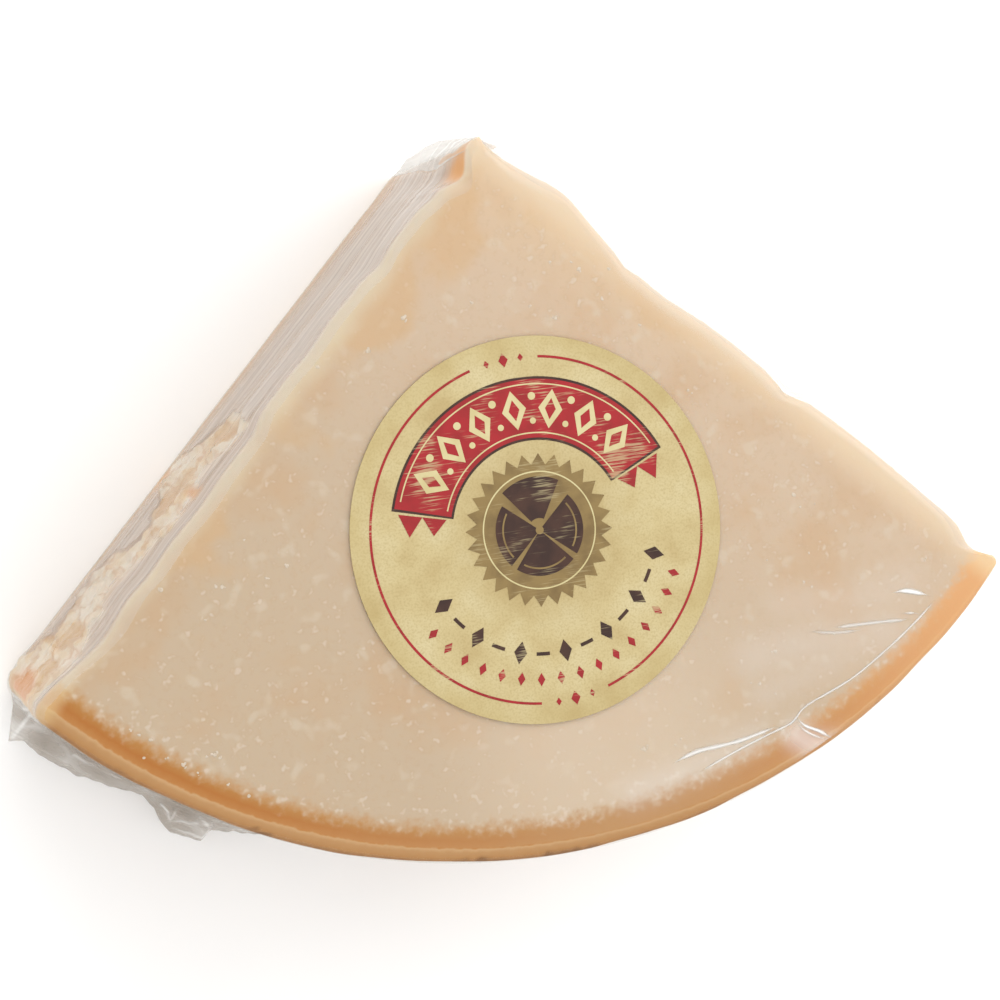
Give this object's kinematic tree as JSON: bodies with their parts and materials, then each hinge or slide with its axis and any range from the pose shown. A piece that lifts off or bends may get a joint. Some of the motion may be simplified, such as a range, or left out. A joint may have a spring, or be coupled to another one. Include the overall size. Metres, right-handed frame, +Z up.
{
  "type": "parmesan chunk",
  "caption": "Vacuum packed quarter wedge of hard grating cheese, rind side down and cut face up, in clear film with a round paper label.",
  "frame": {"origin": "on the resting face, under the middle of the pack's footprint", "axes": "+X across the wedge from its left corner to its right corner, +Y from the round rind towards the apex, +Z up out of the cut face that carries the label"},
  "size_m": [0.2926, 0.2102, 0.0967],
  "materials": {
    "cheese_in_film": "pale straw paste and tan rind under clear shrink film",
    "label_paper": "printed label paper"
  },
  "bodies": {
    "root": {"wrapped_wedge": "cheese_in_film", "label": "label_paper"}
  },
  "joints": []
}
